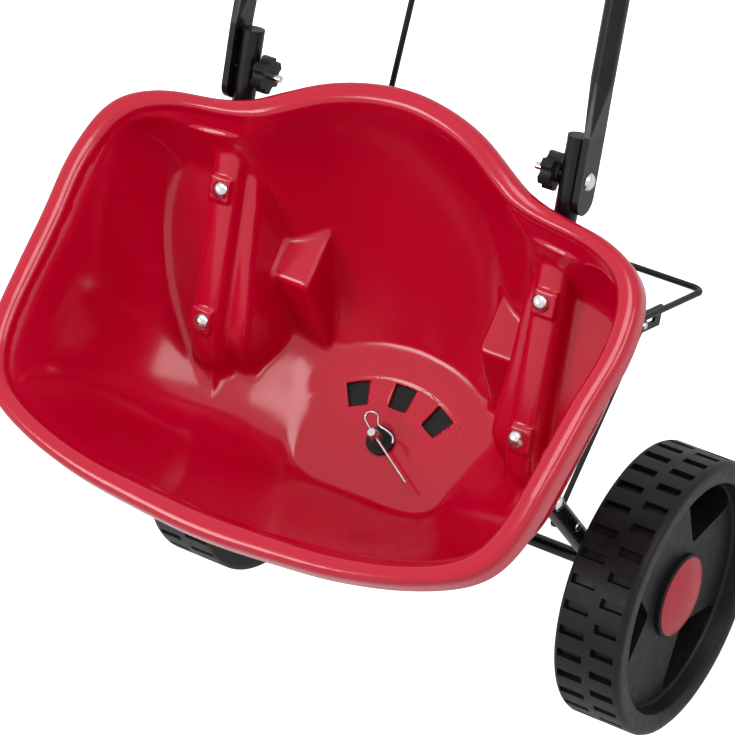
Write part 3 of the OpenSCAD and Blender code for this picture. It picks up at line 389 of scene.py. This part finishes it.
def hopper_field(x, y, z):
    """Negative in the plastic under the inner face, positive in the air over it."""
    x = np.abs(x)
    level = z - rim_lift(x, y, z)
    r = np.hypot(x, y - MID[1])
    s, c = y * COS + z * SIN, z * COS - y * SIN
    air = smax(outside_walls(x, y, level, r), floor_at(x, y) - z, 5)
    air = smax(air, -shoulder(x, s, c), 7)
    air = smax(air, -ridge(x, y, z, s, c), 5)
    air = smax(air, -wedge(x, y, z), 5)
    air = smax(air, -channel(x, from_line(y, z)), 4)
    for at in PAD_S:
        air = smax(air, -pad(x, s, c, at), PAD_BLEND)
    rim = r - radius(R_RIM, x, y)
    body = smax(-air, level - RIM_Z - lip_top(-rim), 2.5)
    return smax(body, rim, 4)


SLAB = 24  # rows of the grid that the field is worked out for at a time
NUDGES, PROBE, LEAST_SLOPE, LONGEST_MOVE = 4, 0.25, 0.2, 0.6


def surface_net(field, lows, highs, step):
    """Quads over the zero of field, its points drawn onto the true surface."""
    axes = [np.arange(a, b, step) for a, b in zip(lows, highs)]
    x, y, z = np.meshgrid(*axes, indexing="ij")
    f = np.concatenate([field(x[i:i + SLAB], y[i:i + SLAB], z[i:i + SLAB])
        for i in range(0, len(x), SLAB)])
    cells = tuple(n - 1 for n in f.shape)
    total, count = np.zeros(cells + (3,)), np.zeros(cells)
    crossings = []
    for axis in range(3):
        a = [slice(None)] * 3
        b = [slice(None)] * 3
        a[axis], b[axis] = slice(0, -1), slice(1, None)
        fa, fb = f[tuple(a)], f[tuple(b)]
        hit = (fa < 0) != (fb < 0)
        t = np.where(hit, fa / np.where(hit, fa - fb, 1), 0)
        others = [k for k in range(3) if k != axis]
        for u in (0, 1):
            for w in (0, 1):
                cut = [slice(None)] * 3
                cut[others[0]] = slice(u, u + cells[others[0]])
                cut[others[1]] = slice(w, w + cells[others[1]])
                h = hit[tuple(cut)]
                total[..., axis] += np.where(h, t[tuple(cut)], 0)
                total[..., others[0]] += h * u
                total[..., others[1]] += h * w
                count += h
        crossings.append((axis, others, hit, fa))
    used = count > 0
    index = np.full(cells, -1)
    index[used] = np.arange(used.sum())
    where = np.argwhere(used)
    points = (where + total[used] / count[used][:, None]) * step + np.array(lows)
    quads = []
    for axis, others, hit, fa in crossings:
        inner = [slice(None)] * 3
        inner[others[0]] = inner[others[1]] = slice(1, -1)
        mask = np.zeros_like(hit)
        mask[tuple(inner)] = hit[tuple(inner)]
        at = np.argwhere(mask)
        ring = []
        for u, w in ((0, 0), (1, 0), (1, 1), (0, 1)):
            cell = at.copy()
            cell[:, others[0]] -= u
            cell[:, others[1]] -= w
            ring.append(index[tuple(cell.T)])
        quad = np.stack(ring, 1)
        flip = (fa[tuple(at.T)] < 0) != (axis == 1)
        quad[flip] = quad[flip][:, ::-1]
        quads.append(quad[:, ::-1])
    for _ in range(NUDGES):
        value = field(*points.T)
        slope = np.stack([field(*(points + e).T) - field(*(points - e).T)
            for e in np.eye(3) * PROBE], 1) / (2 * PROBE)
        steep = np.maximum((slope ** 2).sum(1), LEAST_SLOPE)
        move = value[:, None] * slope / steep[:, None]
        far = np.linalg.norm(move, axis=1)[:, None]
        points = points - move * np.minimum(1, LONGEST_MOVE * step / np.maximum(far, 1e-9))
    return points, np.concatenate(quads)


def new_piece(name, points, faces, body, material):
    mesh = bpy.data.meshes.new(name)
    mesh.from_pydata([tuple(p) for p in points], [], [tuple(int(i) for i in f) for f in faces])
    mesh.polygons.foreach_set("use_smooth", [True] * len(mesh.polygons))
    obj = show(bpy.data.objects.new(name, mesh))
    obj.data.materials.append(material)
    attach(obj, body)
    return obj


def face_outwards(obj, merge=0.0):
    """Join the points that lie within merge of each other, and turn every face outwards."""
    bm = bmesh.new()
    bm.from_mesh(obj.data)
    if merge:
        bmesh.ops.remove_doubles(bm, verts=bm.verts, dist=merge)
    bmesh.ops.recalc_face_normals(bm, faces=bm.faces)
    bm.to_mesh(obj.data)
    bm.free()


def slice_faces(bm, faces, co, no, dist):
    """Cut the faces along the plane through co."""
    edges = list(dict.fromkeys(e for f in faces for e in f.edges))
    verts = list(dict.fromkeys(v for f in faces for v in f.verts))
    bmesh.ops.bisect_plane(bm, geom=faces + edges + verts, plane_co=co, plane_no=no, dist=dist)


# Outlet ports on their arc, in degrees and millimetres from its centre
PORT_TURNS, PORT_HALF, PORT_BEND = (-26, 0, 26), 6.2, 3.1
PORT_OUT, PORT_IN, PORT_R, PORT_REACH = 101, 78.2, 89.5, 24
SHAFT_HOLE = 8.6


def cut_ports(bm):
    """Slice the floor along the three outlet ports and take out what lies inside."""
    def local(x, y, reach):
        return [f for f in bm.faces if f.calc_center_median().z < FLOOR_Z + 6
            and math.hypot(f.calc_center_median().x - x, f.calc_center_median().y - y) < reach]

    def way(degrees):
        return Vector((math.sin(math.radians(degrees)), math.cos(math.radians(degrees)), 0))

    hub = Vector((0, PORT_MID, 0))
    gone = local(0, 0, SHAFT_HOLE)
    for turn in PORT_TURNS:
        mid = hub + way(turn) * PORT_R
        planes = [(hub, way(turn - PORT_HALF - 90)), (hub, way(turn + PORT_HALF + 90))]
        for bend in (-PORT_BEND, PORT_BEND):
            planes.append((hub + way(turn + bend) * PORT_OUT, way(turn + bend)))
            planes.append((hub + way(turn + bend) * PORT_IN, -way(turn + bend)))
        for co, no in planes:
            slice_faces(bm, local(mid.x, mid.y, PORT_REACH), co, no, 0.001)
        gone += [f for f in local(mid.x, mid.y, PORT_REACH)
            if all((f.calc_center_median() - co).dot(no) < 0 for co, no in planes)]
    bmesh.ops.delete(bm, geom=gone, context="FACES")


GRID, QUICK_GRID = 2.5, 4.0
LOWS, HIGHS = (-280.3, -174.2, 174.1), (281, 247, 420)
# The lip's skirt ends at a plane that rises to the front
SKIRT_Y, SKIRT_Z, SKIRT_TILT = 110, 386, 0.027
SKIRT_BAND, SKIRT_IN = 12, 1.2


def make_hopper():
    step = GRID
    points, quads = surface_net(hopper_field, LOWS, HIGHS, step)
    bm = bmesh.new()
    verts = [bm.verts.new(p) for p in points]
    for q in quads:
        if len(set(q)) == 4 and min(q) >= 0:
            bm.faces.new([verts[i] for i in q])

    def over_skirt(co):
        return co.z - SKIRT_Z - SKIRT_TILT * (SKIRT_Y - co.y)

    def outside(co):
        edge = float(radius(R_RIM, abs(co.x), co.y))
        return math.hypot(co.x, co.y - MID[1]) > edge - SKIRT_IN

    held = {v for v in bm.verts if over_skirt(v.co) < SKIRT_BAND and outside(v.co)}
    faces = [f for f in bm.faces if all(v in held for v in f.verts)]
    slice_faces(bm, faces, (0, SKIRT_Y, SKIRT_Z), (0, SKIRT_TILT, 1), 0.01)
    low = [f for f in bm.faces
        if over_skirt(f.calc_center_median()) < 0 and outside(f.calc_center_median())]
    bmesh.ops.delete(bm, geom=low, context="FACES")
    cut_ports(bm)
    loose = [v for v in bm.verts if not v.link_faces]
    bmesh.ops.delete(bm, geom=loose, context="VERTS")
    for v in bm.verts:
        v.co = Vector((v.co.x, v.co.y - MID_Y, v.co.z + LIFT)) / 1000
    bmesh.ops.recalc_face_normals(bm, faces=bm.faces)
    mesh = bpy.data.meshes.new("hopper_shell")
    bm.to_mesh(mesh)
    up = sum(p.normal.z * p.area for p in mesh.polygons)
    bm.free()
    if up < 0:
        mesh.flip_normals()
    mesh.polygons.foreach_set("use_smooth", [True] * len(mesh.polygons))
    obj = show(bpy.data.objects.new("hopper_shell", mesh))
    thick = obj.modifiers.new("wall", "SOLIDIFY")
    thick.thickness = WALL / 1000
    thick.offset = -1
    thick.use_even_offset = False
    obj.data.materials.append(red_plastic)
    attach(obj, "frame")
    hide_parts("hopper")


make_hopper()

# The domed head of a hopper bolt, as (radius, height over its pad), and its shank
BOLT_RINGS = [(0.0, 5.4), (2.6, 5.1), (4.8, 4.3), (6.6, 2.9), (7.7, 1.4), (8.0, 0.5), (7.8, 0.0),
    (3.0, -0.2)]
SHANK_R, SHANK_C, SHANK_TIP_C = 3.0, TUBE_C - 14, TUBE_C - 14.6
BOLT_SIDES = 32


def on_slope(x, s, c):
    return (x, s * COS - c * SIN, s * SIN + c * COS)


def make_bolts():
    points, faces = [], []
    for side in (-1, 1):
        for at, hole in zip(PAD_S, HOLE_S):
            first = len(points)
            profile = [(r, at, PAD_TOP + h) for r, h in BOLT_RINGS]
            profile += [(SHANK_R, hole, SHANK_C), (0.0, hole, SHANK_TIP_C)]
            for r, s, c in profile:
                for k in range(BOLT_SIDES):
                    a = math.tau * k / BOLT_SIDES
                    x = side * TUBE_X + r * math.cos(a)
                    points.append(on_slope(x, s + r * math.sin(a), c))
            for row in range(len(profile) - 1):
                start = first + row * BOLT_SIDES
                for k in range(BOLT_SIDES):
                    a, b = start + k, start + (k + 1) % BOLT_SIDES
                    faces.append((a, a + BOLT_SIDES, b + BOLT_SIDES, b))
    obj = new_piece("hopper_bolt_set", place(points), faces, "frame", bright_bolts)
    face_outwards(obj, merge=1e-6)
    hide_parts("hopper_bolts")


# The agitator clip's wire, from the end of its straight leg
CLIP = [(46, -28.5, 198), (23, -14.2, 198), (0, 0, 198), (-10, 6.5, 198), (-15.5, 11, 198),
    (-15, 16, 198), (-10, 18.5, 198), (-4, 17, 198.4), (-2, 12, 198.8), (0.5, 8.6, 199),
    (8, 7.6, 199), (15, 5.5, 199), (18.5, 2.5, 199), (19.5, -1.5, 199)]
CLIP_R = 0.0012  # metres


def make_clip():
    """A hairpin of wire: a straight leg through the shaft, an eye, and a leg bowed round it."""
    curve = bpy.data.curves.new("clip_wire", "CURVE")
    curve.dimensions = "3D"
    curve.bevel_depth = CLIP_R
    curve.bevel_resolution = 4
    curve.use_fill_caps = True
    curve.resolution_u = 10
    line = curve.splines.new("NURBS")
    line.points.add(len(CLIP) - 1)
    for point, co in zip(line.points, place(CLIP)):
        point.co = (*co, 1)
    line.order_u = 3
    line.use_endpoint_u = True
    obj = show(bpy.data.objects.new("clip_wire", curve))
    curve.materials.append(plain_steel)
    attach(obj, "impeller_body")
    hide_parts("agitator_clip")


make_bolts()
make_clip()

# Moulded wheels: two staggered rows of closed slots, a smooth side ring, three spokes and a hub
WHEEL_R, BARS, SLOT_FLOOR, SPOKE_TURN = 125, 34, 120.0, 72.5
# Where the columns of a bar stand, as shares of it, and which of them the two slots take up
SLOT_STEPS = (0, 0.03, 0.18, 0.33, 0.36, 0.5, 0.53, 0.83, 0.86)
INNER_SLOT, OUTER_SLOT = (1, 3), (6, 7)
INNER_SLOT_X, OUTER_SLOT_X, TREAD_MID_X = (184, 206.6), (215.4, 236), (207.2, 214.8)
COLUMNS = BARS * len(SLOT_STEPS)
# The section as (radius, x): the side towards the hopper, the side ring and the hub
INNER_SIDE = ((6.6, 187), (36.5, 187), (38, 188), (38, 190.5), (39, 191), (104, 191), (105, 190),
    (105, 181), (106, 180), (118, 179), (121.5, 179.3), (123.6, 180.3), (124.6, 182), (125, 183.4))
SIDE_RING = ((125, 236.6), (124.8, 239), (123.8, 241.3), (121.8, 242.7), (119, 243),
    (107.6, 242.4), (105.6, 241.2), (104.8, 239), (104.4, 230), (103.8, 228), (102.9, 227))
HUB = ((39, 227), (38, 227.6), (38, 233), (37, 234), (23, 234), (22, 233), (22, 216), (6.6, 216))
# The web's rings: at the first and last two the pockets between the spokes are closed
WEB = (102.4, 102, 101.2, 99, 96, 92, 86, 78, 70, 63, 57, 52, 49, 48.2, 46.5)
POCKET_OUT, POCKET_IN, POCKET_CORNER = 102, 49, 12
WEB_X, POCKET_X = 227, 195
SPOKE_HALF, SPOKE_FLARE = 32.3, 0.176
POCKET_EDGE = 0.5  # degrees over which a pocket's side falls
SHARP = math.radians(32)


def wheel_rows():
    """Rings of (radius, x, angle) round the closed section, from the bore outwards and back."""
    third = COLUMNS // 3
    half_third = third // 2
    even = np.concatenate([(i + np.array(SLOT_STEPS)) * 360 / BARS for i in range(BARS)])
    even = even + SPOKE_TURN - 30
    step = np.tile(np.arange(len(SLOT_STEPS)), BARS)
    rows = []

    def ring(r, x, angle=even):
        rows.append((np.broadcast_to(np.asarray(r, float), even.shape),
            np.broadcast_to(np.asarray(x, float), even.shape), angle))

    def slots(columns, edges):
        inside = (step >= columns[0]) & (step <= columns[1])
        for x in edges:
            ring(np.where(inside, SLOT_FLOOR, WHEEL_R), x)

    for r, x in INNER_SIDE:
        ring(r, x)
    slots(INNER_SLOT, INNER_SLOT_X)
    for x in TREAD_MID_X:
        ring(WHEEL_R, x)
    slots(OUTER_SLOT, OUTER_SLOT_X)
    for r, x in SIDE_RING:
        ring(r, x)
    k = np.arange(third)
    for r in WEB:
        half = math.degrees(math.asin((SPOKE_HALF + SPOKE_FLARE * r) / r))
        corner = max(r - (POCKET_OUT - POCKET_CORNER), 0)
        inset = POCKET_CORNER - math.sqrt(max(POCKET_CORNER ** 2 - corner ** 2, 0))
        half += math.degrees(inset / r)
        on_spoke = -half + 2 * half * k / (half_third - 1)
        pocket_turn = 120 - 2 * POCKET_EDGE - 2 * half
        in_pocket = half + POCKET_EDGE + pocket_turn * (k - half_third) / (half_third - 1)
        share = np.where(k < half_third, on_spoke, in_pocket)
        angle = np.concatenate([share + SPOKE_TURN + 120 * i for i in range(3)])
        pocket = np.tile(k >= half_third, 3) & (POCKET_IN <= r <= POCKET_OUT)
        ring(r, np.where(pocket, POCKET_X, WEB_X), angle)
    for r, x in HUB:
        ring(r, x)
    return rows


def make_wheel(name, node, body, side):
    rows = wheel_rows()
    points = np.concatenate([
        np.stack([side * x, r * np.cos(np.radians(a)), r * np.sin(np.radians(a))], 1)
        for r, x, a in rows])
    faces = []
    for i in range(len(rows)):
        a, b = i * COLUMNS, (i + 1) % len(rows) * COLUMNS
        for j in range(COLUMNS):
            n = (j + 1) % COLUMNS
            faces.append((a + j, a + n, b + n, b + j))
    obj = new_piece(name, place(points), faces, body, wheel_plastic)
    face_outwards(obj)
    obj.data.set_sharp_from_angle(angle=SHARP)
    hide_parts(node)


make_wheel("drive_wheel_moulded", "drive_wheel", "axle_body", 1)
make_wheel("free_wheel_moulded", "free_wheel", "free_wheel_body", -1)

# The finishes of the CAD nodes that stay
for finish, nodes in (
        (red_caps, "drive_wheel_cap free_wheel_cap lever_grip"),
        (black_tube, "axle frame_tube_right frame_tube_left handle_tube_right "
            "handle_tube_left handle_top handle_crossbar"),
        (black_wire, "stand slotted_bars brace_rods control_rod"),
        (black_plastic, "tube_caps gearbox_right gearbox_left impeller shutter shutter_guides "
            "knob_right knob_left gauge_plate wheel_spacers floor_bush cross_plate"),
        (bright_bolts, "frame_nuts gearbox_screws plate_screws guide_screws stand_bolts "
            "brace_bolts handle_bolts handle_top_bolts handle_nuts crossbar_bolts gauge_bolts "
            "lever_pivot"),
        (plain_steel, "drive_pin impeller_shaft impeller_pin wheel_washers cotter_pins lever"),
        (pale_nylon, "axle_bushes bevel_gear pinion"),
        (grip_rubber, "grip")):
    for node in nodes.split():
        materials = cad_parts[node].data.materials
        materials.clear()
        materials.append(finish)

# Floor, world and lamps, in metres and watts
FLOOR_HALF, FLOOR_GREY, FLOOR_GLOW = 6, 0.9, 0.9
WORLD_LEVEL = 0.55


def add_stage():
    """A floor that looks white to the camera and keeps the object's shadow."""
    mat = bpy.data.materials.new("floor_white")
    mat.use_nodes = True
    tree = mat.node_tree
    shader = tree.nodes["Principled BSDF"]
    shader.inputs["Base Color"].default_value = (FLOOR_GREY, FLOOR_GREY, FLOOR_GREY, 1)
    shader.inputs["Roughness"].default_value = 0.9
    shader.inputs["Specular IOR Level"].default_value = 0.0
    path = tree.nodes.new("ShaderNodeLightPath")
    glow = tree.nodes.new("ShaderNodeEmission")
    glow.inputs["Strength"].default_value = FLOOR_GLOW
    add = tree.nodes.new("ShaderNodeAddShader")
    mix = tree.nodes.new("ShaderNodeMixShader")
    out = tree.nodes["Material Output"]
    tree.links.new(shader.outputs[0], add.inputs[0])
    tree.links.new(glow.outputs[0], add.inputs[1])
    tree.links.new(path.outputs["Is Camera Ray"], mix.inputs[0])
    tree.links.new(shader.outputs[0], mix.inputs[1])
    tree.links.new(add.outputs[0], mix.inputs[2])
    tree.links.new(mix.outputs[0], out.inputs["Surface"])
    points = [(x * FLOOR_HALF, y * FLOOR_HALF, 0) for x, y in ((-1, -1), (1, -1), (1, 1), (-1, 1))]
    mesh = bpy.data.meshes.new("floor")
    mesh.from_pydata(points, [], [(0, 1, 2, 3)])
    floor = bpy.data.objects.new("floor", mesh)
    floor.data.materials.append(mat)
    show(floor)


def add_world():
    """White to the camera and in reflections, and WORLD_LEVEL as a light."""
    world = bpy.data.worlds.new("studio")
    bpy.context.scene.world = world
    world.use_nodes = True
    tree = world.node_tree
    back = tree.nodes["Background"]
    back.inputs["Color"].default_value = (1, 1, 1, 1)
    path = tree.nodes.new("ShaderNodeLightPath")
    bright = tree.nodes.new("ShaderNodeMath")
    bright.operation = "MAXIMUM"
    seen = tree.nodes.new("ShaderNodeMath")
    seen.operation = "MAXIMUM"
    tree.links.new(path.outputs["Is Camera Ray"], bright.inputs[0])
    tree.links.new(path.outputs["Is Glossy Ray"], bright.inputs[1])
    tree.links.new(bright.outputs[0], seen.inputs[0])
    tree.links.new(path.outputs["Is Transmission Ray"], seen.inputs[1])
    level = tree.nodes.new("ShaderNodeMapRange")
    level.inputs["To Min"].default_value = WORLD_LEVEL
    level.inputs["To Max"].default_value = 1.0
    tree.links.new(seen.outputs[0], level.inputs["Value"])
    tree.links.new(level.outputs["Result"], back.inputs["Strength"])


def add_lamp(name, at, aim, size, watts):
    data = bpy.data.lights.new(name, "AREA")
    data.shape = "RECTANGLE"
    data.size, data.size_y = size
    data.energy = watts
    lamp = show(bpy.data.objects.new(name, data))
    lamp.location = at
    lamp.rotation_euler = (Vector(aim) - Vector(at)).to_track_quat("-Z", "Y").to_euler()


add_stage()
add_world()
add_lamp("key", (-1.3, -1.5, 2.6), (0, -0.3, 0.4), (1.2, 0.8), 26)
add_lamp("fill", (2.2, 0.6, 2.0), (0, -0.2, 0.3), (1.0, 1.4), 16)
add_lamp("top", (0.2, 0.5, 3.0), (0, -0.2, 0.3), (1.4, 1.0), 22)
